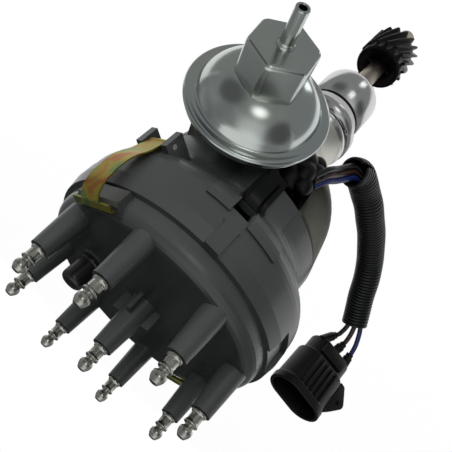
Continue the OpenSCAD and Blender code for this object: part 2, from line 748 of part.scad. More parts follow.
module clip_pin(az) at(az, hinge_r, hinge_z) rotate([90, 0, 0]) rod(clip_pin_r, -9.6, 9.6);

module clip_pin_1() color("silver") clip_pin(clip_azs[0]);

module clip_pin_2() color("silver") clip_pin(clip_azs[1]);

// Lead

module boot() hull() {
    translate([-21, -49, 90]) sphere(r = 6, $fn = 24);
    translate([-27, -48.5, 85]) sphere(r = 6.5, $fn = 24);
    translate([-25, -51, 78]) sphere(r = 5.5, $fn = 24);
}

module grommet() color("#151515") union() {
    difference() {
        boot();
        translate([0, 0, 60]) cylinder(r1 = 45.6, r2 = 53.2, h = 39);
    }
    sector(-121.6, -106.4, 46.6, 54, ledge_z + 2.2, spigot_top - 5);
}

module ground_screw() color("#b8a96a") at(-108.5, 48.6, 70) rotate([0, 90, 0])
    slotted_screw(1.95, 4, 3.6, 2.4);

module wire(side) {
    path = spline(wire_path, 2);
    sweep([for (i = [0:len(path) - 1]) let (h = heading(path, i), u = unit(cross(h, [0, 0, 1])))
        path[i] + side * wire_gap * u + (side == 0 ? 1.6 : -1) * cross(u, h)],
        wire_d / 2, 8, [0, 0, 1]);
}

module wire_blue() color("#2c4fa8") wire(-1);

module wire_black() color("#1a1a1a") wire(0);

module wire_brown() color("#7a4a26") wire(1);

module loom() color("#1d1f22") sweep(loom_path, loom_d / 2, 12, [0, 0, 1]);

module on_plug() translate(plug_at) rotate([0, 0, plug_turn]) children();

module connector_body() color("#161616") on_plug() difference() {
    union() {
        linear_extrude(plug_floor) stadium(plug_len - 5, plug_w - 5);
        translate([0, 0, 12]) linear_extrude(plug_h - 12) stadium(plug_len, plug_w);
        translate([0, 0, plug_h - 5]) linear_extrude(5) stadium(plug_len + 2.4, plug_w + 2.4);
        for (s = [-1, 1]) block([s * 11 - 1.5, -plug_w / 2 - 2, 14], [s * 11 + 1.5, plug_w / 2 + 2, 34]);
    }
    translate([0, 0, plug_floor]) linear_extrude(plug_h) stadium(plug_len - 2 * plug_wall,
        plug_w - 2 * plug_wall);
}

module connector_seal() color("#4a4f52") on_plug() translate([0, 0, plug_floor]) linear_extrude(3)
    difference() {
        stadium(plug_len - 2 * plug_wall - 0.1, plug_w - 2 * plug_wall - 0.1);
        stadium(plug_len - 2 * plug_wall - 4, plug_w - 2 * plug_wall - 4);
    }

module connector_contacts() color("#c9b27a") on_plug() for (x = contact_gap * [-1, 0, 1])
    translate([x, 0, 0]) rotate_extrude($fn = 32) polygon([[0, plug_floor], [1.2, plug_floor],
        [1.2, 33], [0.5, 35], [0, 35]]);

module connector_lock() color("#1d1d1d") on_plug() {
    translate([plug_len / 2, 0, 0]) {
        block([0, -5, 16], [3, 5, 20]);
        rotate([90, 0, 0]) translate([0, 0, -5]) linear_extrude(10) polygon([[1, 18], [3, 16], [9, 24],
            [9.6, 29], [6.6, 38], [4.8, 38], [7.4, 29], [6.8, 25]]);
    }
}

housing();
upper_bushing();
lower_bushing();
o_ring();
thrust_washer();
main_shaft();
sleeve_retainer();
drive_gear();
gear_roll_pin();
weight_plate();
advance_weight_1();
advance_weight_2();
weight_spring_1();
weight_spring_2();
advance_sleeve();
reluctor();
reluctor_pin();
base_plate();
base_plate_screws();
pickup_plate();
pickup_pole();
pickup_coil();
vacuum_arm();
diaphragm_plate();
diaphragm();
diaphragm_spring();
canister_back_shell();
canister_front_shell();
hex_body();
hose_nozzle();
canister_bracket();
bracket_screws();
rotor();
rotor_blade();
cap();
cap_towers();
ring_terminals();
centre_terminal();
carbon_button();
adapter();
adapter_screws();
spring_clip_1();
spring_clip_2();
clip_pin_1();
clip_pin_2();
vent_plug();
grommet();
ground_screw();
wire_blue();
wire_black();
wire_brown();
loom();
connector_body();
connector_lock();
connector_contacts();
connector_seal();
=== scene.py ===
"""Looks of an eight-cylinder ignition distributor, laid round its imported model."""
import math

import bmesh
import bpy
from mathutils import Euler, Matrix, Vector
from mathutils.bvhtree import BVHTree


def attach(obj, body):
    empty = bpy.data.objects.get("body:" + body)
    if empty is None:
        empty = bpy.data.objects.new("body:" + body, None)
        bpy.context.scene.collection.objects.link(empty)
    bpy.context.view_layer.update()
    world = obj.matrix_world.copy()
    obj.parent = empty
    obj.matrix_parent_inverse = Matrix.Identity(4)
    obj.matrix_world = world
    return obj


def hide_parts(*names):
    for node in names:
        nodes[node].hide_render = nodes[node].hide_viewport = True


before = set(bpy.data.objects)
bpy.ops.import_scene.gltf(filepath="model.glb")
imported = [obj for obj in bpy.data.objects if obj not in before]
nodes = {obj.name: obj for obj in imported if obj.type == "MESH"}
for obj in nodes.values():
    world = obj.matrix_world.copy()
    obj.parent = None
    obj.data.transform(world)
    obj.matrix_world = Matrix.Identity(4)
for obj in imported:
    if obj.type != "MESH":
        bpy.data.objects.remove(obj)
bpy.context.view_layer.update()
MM = 0.001

# Camera
# It looks down on the towers from the vacuum unit's side. It stands less than 0.4 m away, so the
# cap looks large and the gear small.
scene = bpy.context.scene
scene.view_settings.view_transform = "Standard"
camera_data = bpy.data.cameras.new("camera")
camera_data.sensor_width = 36
camera_data.lens = 43.8
camera_data.shift_x = 0.0511
camera_data.shift_y = 0.0389
camera_data.clip_start = 0.01
camera = bpy.data.objects.new("camera", camera_data)
camera_at = Vector((-36.62, -249.91, 261.98)) * MM
camera_right = Vector((-0.7546, -0.2344, -0.6130))
camera_up = Vector((0.6436, -0.4464, -0.6217))
camera_back = Vector((-0.1279, -0.8636, 0.4876))
camera_turn = Matrix((camera_right, camera_up, camera_back)).transposed().to_4x4()
camera.matrix_world = Matrix.Translation(camera_at) @ camera_turn
scene.collection.objects.link(camera)
scene.camera = camera


# Stage
# A pale floor just under the shaft's tip and a pale room, both plain white to the camera. Grey
# walls and cards that only reflections see give the bright metal its contrast.
def new_material(name):
    material = bpy.data.materials.new(name)
    material.use_nodes = True
    return material, material.node_tree, material.node_tree.nodes["Principled BSDF"]


def put(tree, kind, **settings):
    """Adds a node. i0, i1 and so on are its sockets by number, and lower case words its settings."""
    node = tree.nodes.new(kind)
    for key, value in settings.items():
        numbered = key[0] == "i" and key[1:].isdigit()
        if key.islower() and not numbered:
            setattr(node, key, value)
            continue
        socket = node.inputs[int(key[1:]) if numbered else key]
        if isinstance(value, bpy.types.NodeSocket):
            tree.links.new(value, socket)
        else:
            socket.default_value = value
    return node


def shown_white(tree):
    """1 for the rays that should meet plain white: the camera's, mirrored and transmitted ones."""
    path = put(tree, "ShaderNodeLightPath")
    seen = put(tree, "ShaderNodeMath", operation="MAXIMUM", i0=path.outputs["Is Camera Ray"],
               i1=path.outputs["Is Glossy Ray"])
    seen = put(tree, "ShaderNodeMath", operation="MAXIMUM", i0=seen.outputs[0],
               i1=path.outputs["Is Transmission Ray"])
    return seen.outputs[0]


floor_z = -0.1275
floor_half = 3
bm = bmesh.new()
bmesh.ops.create_grid(bm, x_segments=1, y_segments=1, size=floor_half)
bmesh.ops.translate(bm, verts=bm.verts, vec=(0, 0, floor_z))
floor_mesh = bpy.data.meshes.new("floor")
bm.to_mesh(floor_mesh)
bm.free()
floor = bpy.data.objects.new("floor", floor_mesh)
scene.collection.objects.link(floor)
floor_paint, tree, shader = new_material("floor_paint")
shader.inputs["Base Color"].default_value = (0.3, 0.3, 0.3, 1)
shader.inputs["Roughness"].default_value = 0.9
white = put(tree, "ShaderNodeEmission", Color=(1, 1, 1, 1), Strength=0.96)
dark = put(tree, "ShaderNodeEmission", Color=(1, 1, 1, 1), Strength=0.2)
mix = put(tree, "ShaderNodeMixShader", Fac=shown_white(tree))
tree.links.new(dark.outputs[0], mix.inputs[1])
tree.links.new(white.outputs[0], mix.inputs[2])
both = put(tree, "ShaderNodeAddShader")
tree.links.new(shader.outputs[0], both.inputs[0])
tree.links.new(mix.outputs[0], both.inputs[1])
tree.links.new(both.outputs[0], tree.nodes["Material Output"].inputs["Surface"])
floor_mesh.materials.append(floor_paint)

world = bpy.data.worlds.new("room")
scene.world = world
world.use_nodes = True
tree = world.node_tree
light = tree.nodes["Background"]
light.inputs["Strength"].default_value = 0.3
shown = put(tree, "ShaderNodeBackground", Color=(1, 1, 1, 1), Strength=1.0)
mix = put(tree, "ShaderNodeMixShader", Fac=shown_white(tree))
tree.links.new(light.outputs[0], mix.inputs[1])
tree.links.new(shown.outputs[0], mix.inputs[2])
tree.links.new(mix.outputs[0], tree.nodes["World Output"].inputs["Surface"])


def stage_piece(name, bm, finish):
    """A glowing sheet that only reflections see."""
    mesh = bpy.data.meshes.new(name)
    bm.to_mesh(mesh)
    bm.free()
    mesh.materials.append(finish)
    sheet = bpy.data.objects.new(name, mesh)
    sheet.visible_camera = sheet.visible_diffuse = sheet.visible_shadow = False
    scene.collection.objects.link(sheet)


def glow(name, strength):
    material, tree, shader = new_material(name)
    tone = put(tree, "ShaderNodeEmission", Color=(0.97, 1, 1, 1), Strength=strength)
    tree.links.new(tone.outputs[0], tree.nodes["Material Output"].inputs["Surface"])
    return material, tree, tone


def card(name, at, size, level):
    bm = bmesh.new()
    bmesh.ops.create_grid(bm, x_segments=1, y_segments=1, size=0.5)
    bmesh.ops.scale(bm, verts=bm.verts, vec=(size[0], size[1], 1))
    bmesh.ops.translate(bm, verts=bm.verts, vec=at)
    stage_piece(name, bm, glow(name + "_glow", level)[0])


# A grey ball of walls round the part, cut off at the floor and open at its top, with bright windows
# and dark corners at some of its places
wall_radius = 1.4
roof_z = 1.33
wall_spots = (((-0.34, -0.55, 0.76), 0.88, 1.0, 0.7), ((-0.4, -0.1, 0.91), 0.86, 0.98, 1.0),
              ((-0.2, -0.93, 0.3), 0.975, 0.993, 2.2), ((0.15, 0.87, 0.47), 0.8, 0.93, 0.05),
              ((0.55, -0.8, 0.25), 0.9, 0.97, 0.12), ((-0.85, -0.45, 0.2), 0.88, 0.97, 0.1))
bm = bmesh.new()
bmesh.ops.create_uvsphere(bm, u_segments=48, v_segments=24, radius=wall_radius)
bmesh.ops.bisect_plane(bm, geom=bm.verts[:] + bm.edges[:] + bm.faces[:],
                       plane_co=(0, 0, floor_z + MM), plane_no=(0, 0, 1), clear_inner=True)
bmesh.ops.bisect_plane(bm, geom=bm.verts[:] + bm.edges[:] + bm.faces[:],
                       plane_co=(0, 0, roof_z), plane_no=(0, 0, 1), clear_outer=True)
walls, tree, tone = glow("grey_walls", 0.3)
where = put(tree, "ShaderNodeTexCoord").outputs["Object"]
drift = put(tree, "ShaderNodeTexNoise", Vector=where, Scale=1.6, Detail=2.0)
level = put(tree, "ShaderNodeMapRange", i0=drift.outputs["Fac"], i1=0.3, i2=0.7, i3=0.2, i4=0.36)
for towards, edge, core, spot_level in wall_spots:
    spot = put(tree, "ShaderNodeVectorMath", operation="DOT_PRODUCT", i0=where,
               i1=Vector(towards).normalized())
    share = put(tree, "ShaderNodeMapRange", interpolation_type="SMOOTHSTEP",
                i0=spot.outputs["Value"], i1=edge * wall_radius, i2=core * wall_radius)
    level = put(tree, "ShaderNodeMix", i0=share.outputs[0], i2=level.outputs[0], i3=spot_level)
tree.links.new(level.outputs[0], tone.inputs["Strength"])
stage_piece("wall_ring", bm, walls)
card("floor_card", (0, -0.68, floor_z + 0.0002), (2.4, 1.26), 0.28)
card("floor_window", (-0.03, -0.125, floor_z + 0.0004), (0.035, 0.07), 2.2)

lamp = bpy.data.lights.new("key_light", "AREA")
lamp.shape = "RECTANGLE"
lamp.size, lamp.size_y = 2.2, 0.8
lamp.energy = 11
key_light = bpy.data.objects.new("key_light", lamp)
key_light.location = (0.35, -1.2, 0.3)
aim = Vector((0, 0, 0.08)) - key_light.location
key_light.rotation_euler = aim.to_track_quat("-Z", "Y").to_euler()
key_light.visible_glossy = False
scene.collection.objects.link(key_light)

# Wires
# Three stranded wires in coloured insulation leave the boot side by side, run through the loom
# and end crimped in the plug. The lead is short and stiff enough to keep its bend.
wire_points = [(-24, -50, 84), (-27, -51, 77), (-30, -48, 70), (-33, -45, 62), (-36, -42, 55),
               (-42, -35, 50), (-47, -28, 48), (-53, -21, 47), (-59, -12, 46), (-65, -3, 45),
               (-71, 7, 45), (-77, 17, 46), (-83, 27, 50), (-88, 37, 55), (-94, 46, 60),
               (-99, 54, 66), (-101, 60, 71), (-101, 63, 75), (-100, 64, 80)]
wire_diameter = 3
wire_gap = 3.1
# Past this share of the route the wires spread from wire_gap to contact_gap
fan_from = 0.8
contact_gap = 9.5
plug_place = Matrix.Translation(Vector((-98.1, 67.9, 83.1)) * MM) @ Euler(
    (math.radians(-2.8), math.radians(-4.5), math.radians(165.6))).to_matrix().to_4x4()


def smooth_line(points, steps):
    """Catmull-Rom curve through the points, in metres."""
    knots = [Vector(p) * MM for p in points]
    line = []
    for i in range(len(knots) - 1):
        a, b, c, d = (knots[max(min(j, len(knots) - 1), 0)] for j in range(i - 1, i + 3))
        for k in range(steps):
            t = k / steps
            line.append(0.5 * (2 * b + (c - a) * t + (2 * a - 5 * b + 4 * c - d) * t * t
                               + (3 * b - a - 3 * c + d) * t ** 3))
    return line + [knots[-1]]


def heading(line, i):
    return (line[min(i + 1, len(line) - 1)] - line[max(i - 1, 0)]).normalized()


def carry(line, start):
    """A sideways vector for each point of the line, carried along it without twist."""
    sideways = [start]
    for i in range(len(line)):
        ahead = heading(line, i)
        sideways.append((sideways[-1] - sideways[-1].dot(ahead) * ahead).normalized())
    return sideways[1:]


def tinted(colour, share=1.0):
    return (*[c * share for c in colour], 1)


def blend(tree, factor, first, second):
    """A colour between two, each given as a colour or as a node's output."""
    mix = put(tree, "ShaderNodeMix", data_type="RGBA", i0=factor, i6=first, i7=second)
    return mix.outputs[2]


def add_grain(tree, shader, where, scale, detail, strength, depth):
    noise = put(tree, "ShaderNodeTexNoise", Vector=where, Scale=scale, Detail=detail)
    bump = put(tree, "ShaderNodeBump", Strength=strength, Distance=depth, Height=noise.outputs["Fac"])
    tree.links.new(bump.outputs[0], shader.inputs["Normal"])


def insulation(name, colour):
    """Smooth coloured plastic with a little soil and slow waves in its skin."""
    material, tree, shader = new_material(name)
    where = put(tree, "ShaderNodeTexCoord").outputs["Object"]
    soil = put(tree, "ShaderNodeTexNoise", Vector=where, Scale=300.0, Detail=4.0)
    tone = blend(tree, soil.outputs["Fac"], tinted(colour, 0.7), tinted(colour))
    tree.links.new(tone, shader.inputs["Base Color"])
    shader.inputs["Roughness"].default_value = 0.3
    add_grain(tree, shader, where, 700.0, 2.0, 0.25, 0.0002)
    return material


# The row of wires turns on its way, so that it ends along the plug's long side
middle = smooth_line(wire_points, 8)
row = carry(middle, heading(middle, 0).cross(Vector((0, 0, 1))).normalized())
across = plug_place.col[0].xyz
end_side = row[-1].cross(heading(middle, len(middle) - 1))
wire_turn = math.atan2(across.dot(end_side), across.dot(row[-1]))
wire_pieces = []
for side, colour, slot in ((1, (0.018, 0.035, 0.19), "blue"), (-1, (0.008, 0.008, 0.009), "black"),
                           (0, (0.05, 0.022, 0.014), "brown")):
    line = []
    for i, point in enumerate(middle):
        share = i / (len(middle) - 1)
        fan = max(0, share - fan_from) / (1 - fan_from)
        other = row[i].cross(heading(middle, i))
        turned = math.cos(wire_turn * share) * row[i] + math.sin(wire_turn * share) * other
        line.append(point + side * (wire_gap + (contact_gap - wire_gap) * fan) * MM * turned)
    curve = bpy.data.curves.new("wire_" + slot + "_insulation", "CURVE")
    curve.dimensions = "3D"
    curve.bevel_depth = wire_diameter / 2 * MM
    curve.bevel_resolution = 6
    curve.use_fill_caps = True
    spline = curve.splines.new("POLY")
    spline.points.add(len(line) - 1)
    for point, at in zip(spline.points, line):
        point.co = (*at, 1)
    spline.use_smooth = True
    curve.materials.append(insulation(slot + "_insulation", colour))
    wire = bpy.data.objects.new("wire_" + slot + "_insulation", curve)
    scene.collection.objects.link(wire)
    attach(wire, "case")
    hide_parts("wire_" + slot)
    length = sum((b - a).length for a, b in zip(line, line[1:]))
    wire_pieces.append((wire, line, length))

# Loom
# A split tube of black corrugated plastic, pushed over the wires. Its ridges are about 2.2 mm
# apart, and the slit along it stays nearly closed but gapes at the mouth.
loom_points = [(-35, -43, 57), (-38, -40, 52), (-42, -35, 50), (-47, -28, 48), (-53, -21, 47),
               (-59, -12, 46), (-65, -3, 45), (-71, 7, 45), (-77, 17, 46), (-83, 27, 50),
               (-88, 37, 55), (-93, 45, 60), (-97, 51, 65)]
loom_r = 7.9
loom_depth = 0.95
loom_pitch = 2.15
loom_wall = 0.5
slit_turn = math.radians(250)
slit_width = 6
mouth_length = 9
lip_rise = 1.3
lip_width = 0.8
# One ridge and groove: the share of the pitch, and the share of the depth that it drops
loom_profile = ((0.0, 1), (0.12, 0.95), (0.2, 0.6), (0.28, 0.12), (0.36, 0), (0.84, 0),
                (0.92, 0.12), (0.96, 0.6))


def make_piece(name, bm, finish, slot, body, *stands_for, crease=35):
    """Turns a bmesh into a finished piece; edges sharper than crease, in degrees, stay crisp."""
    mesh = bpy.data.meshes.new(name)
    bm.to_mesh(mesh)
    bm.free()
    mesh.shade_smooth()
    mesh.set_sharp_from_angle(angle=math.radians(crease))
    mesh.materials.append(finish)
    obj = bpy.data.objects.new(name, mesh)
    scene.collection.objects.link(obj)
    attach(obj, body)
    if stands_for:
        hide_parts(*stands_for)
    return obj


def clouded(tree, shader, where, scale, detail, dull, bright, smooth, rough):
    """Two tones and two degrees of gloss that drift into each other."""
    cloud = put(tree, "ShaderNodeTexNoise", Vector=where, Scale=scale, Detail=detail).outputs["Fac"]
    tree.links.new(blend(tree, cloud, dull, bright), shader.inputs["Base Color"])
    gloss = put(tree, "ShaderNodeMapRange", i0=cloud, i1=0.3, i2=0.7, i3=smooth, i4=rough)
    tree.links.new(gloss.outputs[0], shader.inputs["Roughness"])


def satin(name, colour, roughness, grain, depth, shine=0.5):
    """Moulded plastic or rubber: a fine grain on its skin and slow changes of gloss."""
    material, tree, shader = new_material(name)
    where = put(tree, "ShaderNodeTexCoord").outputs["Object"]
    clouded(tree, shader, where, 45.0, 3.0, tinted(colour, 0.85), tinted(colour, 1.12),
            roughness - 0.04, roughness + 0.04)
    shader.inputs["Specular IOR Level"].default_value = shine
    add_grain(tree, shader, where, grain, 3.0, 0.3, depth)
    return material


middle = smooth_line(loom_points, 6)
sideways = carry(middle, Vector((0, 0, 1)))
walked = [0.0]
for a, b in zip(middle, middle[1:]):
    walked.append(walked[-1] + (b - a).length)


def on_loom(flat):
    """Carries a point of the straight tube, z along it, to its place on the loom's line."""
    i = 0
    while i < len(walked) - 2 and walked[i + 1] < flat.z:
        i += 1
    t = (flat.z - walked[i]) / (walked[i + 1] - walked[i])
    ahead = heading(middle, i).lerp(heading(middle, i + 1), t).normalized()
    side = sideways[i].lerp(sideways[i + 1], t).normalized()
    return middle[i].lerp(middle[i + 1], t) + flat.x * side + flat.y * ahead.cross(side)


ridges = int(walked[-1] / (loom_pitch * MM))
bm = bmesh.new()
before = None
for ridge in range(ridges):
    for share, drop in loom_profile:
        vert = bm.verts.new(((loom_r - loom_depth * drop) * MM, 0,
                             (ridge + share) * walked[-1] / ridges))
        if before:
            bm.edges.new((before, vert))
        before = vert
bmesh.ops.rotate(bm, verts=bm.verts, matrix=Matrix.Rotation(math.radians(slit_width / 2), 3, "Z"))
bmesh.ops.spin(bm, geom=bm.verts[:] + bm.edges[:], cent=(0, 0, 0), axis=(0, 0, 1),
               angle=math.radians(360 - slit_width), steps=48)
bmesh.ops.recalc_face_normals(bm, faces=bm.faces)
bmesh.ops.solidify(bm, geom=bm.faces[:], thickness=loom_wall * MM)
for vert in bm.verts:
    gape = max(0, 1 - vert.co.z / (mouth_length * MM)) ** 2
    turn = (math.atan2(vert.co.y, vert.co.x) % math.tau) * (1 - 0.07 * gape) + slit_turn
    lip = max(0, 1 - abs(turn - slit_turn) / lip_width)
    radius = vert.co.xy.length + lip_rise * MM * gape * lip
    vert.co = on_loom(Vector((radius * math.cos(turn), radius * math.sin(turn), vert.co.z)))
bmesh.ops.recalc_face_normals(bm, faces=bm.faces)
loom_black = satin("loom_black", (0.006, 0.0065, 0.007), 0.36, 900.0, 0.0001, shine=0.35)
loom = make_piece("split_loom", bm, loom_black, "loom_plastic", "case", "loom", crease=50)


# Plug
# A black moulded shell with ribbed sides, round three contacts, with a soft seal on its floor, a
# locking wing on one end and a black sleeve where each wire goes in. It stands at a slant on the
# wires' ends.
def rounded(*points, steps=4):
    """An outline's points; a third value cuts that corner back by so much and rounds it."""
    line = []
    for i, point in enumerate(points):
        here = Vector(point[:2])
        if len(point) < 3:
            line.append(here)
            continue
        before = Vector(points[i - 1][:2]) - here
        after = Vector(points[(i + 1) % len(points)][:2]) - here
        for k in range(steps + 1):
            t = k / steps
            line.append(here + (1 - t) ** 2 * point[2] * before.normalized()
                        + t * t * point[2] * after.normalized())
    return line


def lathe(line, steps=64, closed=False):
    """Turns a line of radius and height, in millimetres, round Z."""
    bm = bmesh.new()
    verts = [bm.verts.new((r * MM, 0, z * MM)) for r, z in line]
    for start, end in zip(verts, verts[1:] + verts[:1] if closed else verts[1:]):
        bm.edges.new((start, end))
    bmesh.ops.spin(bm, geom=bm.verts[:] + bm.edges[:], cent=(0, 0, 0), axis=(0, 0, 1),
                   angle=math.tau, steps=steps, use_merge=True)
    bmesh.ops.remove_doubles(bm, verts=bm.verts, dist=1e-7)
    bmesh.ops.recalc_face_normals(bm, faces=bm.faces)
    return bm


def moved(bm, matrix):
    bmesh.ops.transform(bm, matrix=matrix, verts=bm.verts)
    return bm


def gather(parts):
    """Puts several shapes in one mesh."""
    whole = bmesh.new()
    for part in parts:
        mesh = bpy.data.meshes.new("part")
        part.to_mesh(mesh)
        part.free()
        whole.from_mesh(mesh)
        bpy.data.meshes.remove(mesh)
    return whole


def soften(bm, edges, size, segments):
    bmesh.ops.bevel(bm, geom=edges, offset=size * MM, affect="EDGES", segments=segments,
                    profile=0.5, material=-1)


def block(bm, low, high, soft):
    """Adds a box between two corners, in millimetres, with softened edges."""
    made = bmesh.ops.create_cube(bm, size=1)["verts"]
    bmesh.ops.scale(bm, verts=made, vec=[(b - a) * MM for a, b in zip(low, high)])
    bmesh.ops.translate(bm, verts=made, vec=[(a + b) / 2 * MM for a, b in zip(low, high)])
    soften(bm, [e for e in bm.edges if e.verts[0] in made], soft, 2)


def stadium(line):
    """A turned shape pulled apart along X to the plug's oval."""
    steps = 64
    bm = lathe(line, steps)
    bmesh.ops.rotate(bm, verts=bm.verts, matrix=Matrix.Rotation(math.pi / steps, 3, "Z"))
    for vert in bm.verts:
        if abs(vert.co.x) > 1e-6:
            vert.co.x += math.copysign(oval_half * MM, vert.co.x)
    return bm


matte_black = satin("matte_black", (0.005, 0.005, 0.0055), 0.42, 1200.0, 0.0001, shine=0.25)
# Half of the straight run along the oval's long sides
oval_half = 6.8
shell_line = rounded((0, 0.5), (8.6, 0.5, 1.2), (8.6, 12, 0.6), (10.9, 13.2, 0.8), (11.2, 36.4, 0.5),
                     (12.1, 37.2, 0.5), (12.1, 42.2, 0.7), (10.1, 42.2, 0.5), (9.2, 36),
                     (9, 18.5, 0.6), (0, 18.5))
# Five ribs and one flat cover on each long side
rib_low, rib_high = 14.5, 36
rib_half, rib_deep, rib_out = 0.8, 0.7, 11.6
cover_low, cover_high = 1.5, 10.5
cover_half, cover_deep, cover_out = 9, 1.2, 9
bm = stadium(shell_line)
for side in (-1, 1):
    for x in (-8, -4, 0, 4, 8):
        y = side * rib_out
        block(bm, (x - rib_half, y - rib_deep, rib_low), (x + rib_half, y + rib_deep, rib_high),
              0.35)
    y = side * cover_out
    block(bm, (-cover_half, y - cover_deep, cover_low), (cover_half, y + cover_deep, cover_high),
          0.7)
plug_shell = make_piece("plug_shell", moved(bm, plug_place), matte_black, "black_plastic", "case",
                        "connector_body")

wing_outline = rounded((17, 10), (20.2, 10.4, 1), (27.8, 21.6, 3), (20.2, 32.4, 1), (17, 32))
wing_width = 9
# A thin round stud goes across the wing
stud_length = 11
bm = bmesh.new()
wing = bm.faces.new([bm.verts.new((x * MM, -wing_width / 2 * MM, z * MM)) for x, z in wing_outline])
raised = bmesh.ops.extrude_face_region(bm, geom=[wing])["geom"]
bmesh.ops.translate(bm, verts=[v for v in raised if isinstance(v, bmesh.types.BMVert)],
                    vec=(0, wing_width * MM, 0))
bmesh.ops.recalc_face_normals(bm, faces=bm.faces)
soften(bm, [e for e in bm.edges if abs(e.verts[0].co.y - e.verts[1].co.y) < 1e-6], 0.7, 3)
stud_place = Matrix.Translation(Vector((23, 0, 21.4)) * MM) @ Matrix.Rotation(
    math.pi / 2, 4, "X")
bmesh.ops.create_cone(bm, cap_ends=True, segments=24, radius1=1.5 * MM, radius2=1.3 * MM,
                      depth=stud_length * MM, matrix=stud_place)
plug_wing = make_piece("plug_wing", moved(bm, plug_place), matte_black, "black_plastic", "case",
                       "connector_lock")

seal_grey = satin("seal_grey", (0.02, 0.021, 0.022), 0.6, 500.0, 0.0001)
bm = stadium(rounded((0, 18), (8.7, 18), (8.7, 20.6, 0.9), (0, 20.6)))
plug_seal = make_piece("plug_seal", moved(bm, plug_place), seal_grey, "seal_rubber", "case",
                       "connector_seal")

pin_line = rounded((0, 18), (1.3, 18), (1.3, 33.4, 1.2), (0, 34.6))
bm = gather(moved(lathe(pin_line, 24), Matrix.Translation((x * MM, 0, 0)))
            for x in (-contact_gap, 0, contact_gap))
plug_pins = make_piece("plug_pins", moved(bm, plug_place), matte_black, "brass_strip", "case",
                       "connector_contacts")

sleeve_line = rounded((1.6, -6), (2.3, -6, 0.3), (2.3, -3.6, 0.4), (2.9, -3.2, 0.3), (2.9, 6.5),
                      (1.4, 6.5), (1.4, -6))
for number, (wire, line, length) in enumerate(wire_pieces, 1):
    along = (line[-1] - line[-4]).to_track_quat("Z", "Y").to_matrix().to_4x4()
    bm = moved(lathe(sleeve_line, 32), Matrix.Translation(line[-1]) @ along)
    make_piece(f"wire_sleeve_{number}", bm, matte_black, "black_plastic", "case")


# Bowl and shank
# One aluminium casting with a sanded skin. The shank, the collar and the rings above it are
# turned bright on a lathe.
def dress(finish, *names):
    for name in names:
        for slot in nodes[name].material_slots:
            slot.material = finish


def metal(name, colour, other, roughness, mottle=60.0, grain=2500.0, depth=0.00003, strength=0.15):
    """Bare or plated metal: two tones that drift into each other and a fine grain."""
    material, tree, shader = new_material(name)
    where = put(tree, "ShaderNodeTexCoord").outputs["Object"]
    clouded(tree, shader, where, mottle, 5.0, tinted(colour), tinted(other), roughness * 0.85,
            roughness * 1.15)
    shader.inputs["Metallic"].default_value = 1.0
    add_grain(tree, shader, where, grain, 3.0, strength, depth)
    return material


def casting_finish_and_shade():
    """Bright turned metal up to the rings, pale sanded metal on the neck, and painted shade above it,
    where the bowl's metal is given a dark dull tone.
    """
    rings_top = 0.014
    neck_top = 0.0615
    material, tree, shader = new_material("cast_turned_painted_shade")
    where = put(tree, "ShaderNodeTexCoord").outputs["Object"]
    height = put(tree, "ShaderNodeSeparateXYZ", Vector=where).outputs["Z"]
    cast = put(tree, "ShaderNodeMapRange", i0=height, i1=rings_top - 0.0002,
               i2=rings_top + 0.0002).outputs[0]
    # Painted shade: above the neck's top the bowl takes a dark tone, as if its metal mirrored a dark
    # room.
    painted_shade_share = put(tree, "ShaderNodeMapRange", i0=height, i1=neck_top - MM, i2=neck_top + MM).outputs[0]
    cloud = put(tree, "ShaderNodeTexNoise", Vector=where, Scale=70.0, Detail=6.0).outputs["Fac"]
    shaded_bowl_tone = blend(tree, cloud, (0.07, 0.07, 0.055, 1), (0.14, 0.14, 0.115, 1))
    cast_and_shaded_tone = blend(tree, painted_shade_share, (0.62, 0.61, 0.56, 1), shaded_bowl_tone)
    tree.links.new(blend(tree, cast, (0.6, 0.6, 0.59, 1), cast_and_shaded_tone), shader.inputs["Base Color"])
    shader.inputs["Metallic"].default_value = 1.0
    gloss = put(tree, "ShaderNodeMapRange", i0=cast, i3=0.17, i4=0.5)
    tree.links.new(gloss.outputs[0], shader.inputs["Roughness"])
    turning = put(tree, "ShaderNodeTexWave", bands_direction="Z", Vector=where, Scale=700.0,
                  Distortion=0.4, Detail=1.0)
    sand = put(tree, "ShaderNodeTexNoise", Vector=where, Scale=1300.0, Detail=5.0)
    relief = put(tree, "ShaderNodeMix", i0=cast, i2=turning.outputs["Fac"], i3=sand.outputs["Fac"])
    reach = put(tree, "ShaderNodeMapRange", i0=cast, i3=0.08, i4=0.5)
    bump = put(tree, "ShaderNodeBump", Strength=reach.outputs[0], Distance=0.0002,
               Height=relief.outputs[0])
    tree.links.new(bump.outputs[0], shader.inputs["Normal"])
    return material


def merged_copy(name):
    """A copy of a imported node's mesh with its loose triangles joined."""
    bm = bmesh.new()
    bm.from_mesh(nodes[name].data)
    bmesh.ops.remove_doubles(bm, verts=bm.verts, dist=1e-6)
    return bm


# The shank's lower end is drawn in to a rounded shoulder. The bore inside stays as it is.
shoulder, shank_end = -34, -42.2
outer_skin = 18
draw_in = 0.24
bm = merged_copy("housing")
for level in (shoulder, -36, -38, -39.5, -40.7, -41.6):
    bmesh.ops.bisect_plane(bm, geom=bm.verts[:] + bm.edges[:] + bm.faces[:],
                           plane_co=(0, 0, level * MM), plane_no=(0, 0, 1))
for vert in bm.verts:
    share = (shoulder - vert.co.z / MM) / (shoulder - shank_end)
    if share > 0 and vert.co.xy.length > outer_skin * MM:
        vert.co.xy *= 1 - draw_in * share ** 2.5
bmesh.ops.recalc_face_normals(bm, faces=bm.faces)
make_piece("turned_bowl", bm, casting_finish_and_shade(), "cast_aluminium", "case", "housing")
rubber = satin("black_rubber", (0.003, 0.003, 0.0035), 0.4, 700.0, 0.0001, shine=0.22)
dress(rubber, "o_ring")

